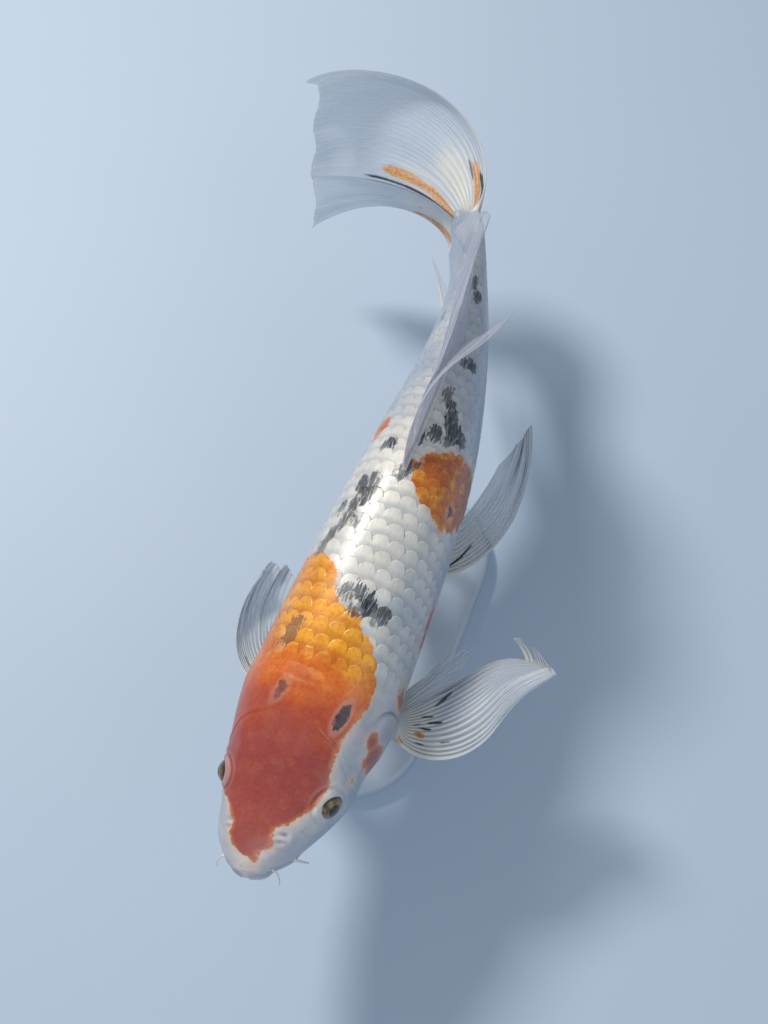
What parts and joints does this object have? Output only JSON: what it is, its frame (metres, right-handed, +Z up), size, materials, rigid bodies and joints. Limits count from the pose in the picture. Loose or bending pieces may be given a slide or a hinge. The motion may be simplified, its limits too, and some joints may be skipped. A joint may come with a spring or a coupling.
{
  "type": "long-finned koi carp model on a display stand",
  "caption": "Still, life-size model of a long-finned (butterfly) koi carp in a gentle turn, held by two short rods on a flat base.",
  "frame": {"origin": "middle of the underside of the stand's base", "axes": "+Z up; the fish swims towards -Y with its head, its left side faces +X, and its tail fin sweeps towards -X; the back of the base is the XY plane"},
  "size_m": [0.1744, 0.4775, 0.1981],
  "materials": {
    "skin": "wet, glossy scaled skin: white with orange-red and black patches",
    "fin": "thin pale fin membrane over raised rays, wet sheen",
    "tail_fin": "thin pale tail membrane with cream and orange rays at its root, wet sheen",
    "eye": "clear dark eye with a thin gold ring round the pupil",
    "barbel": "soft pale skin",
    "stand": "satin light grey",
    "rod": "satin"
  },
  "bodies": {
    "root": {"head": "skin", "lower_jaw": "skin", "gill_cover_left": "skin", "gill_cover_right": "skin", "trunk_front": "skin", "trunk_rear": "skin", "tail_stalk": "skin", "eye_left": "eye", "eye_right": "eye", "barbel_long_left": "barbel", "barbel_long_right": "barbel", "barbel_short_left": "barbel", "barbel_short_right": "barbel", "pectoral_fin_left": "fin", "pectoral_fin_right": "fin", "pelvic_fin_left": "fin", "pelvic_fin_right": "fin", "dorsal_fin": "fin", "anal_fin": "fin", "tail_fin_upper": "tail_fin", "tail_fin_lower": "tail_fin", "stand_base": "stand", "stand_rod_front": "rod", "stand_rod_rear": "rod"}
  },
  "joints": []
}
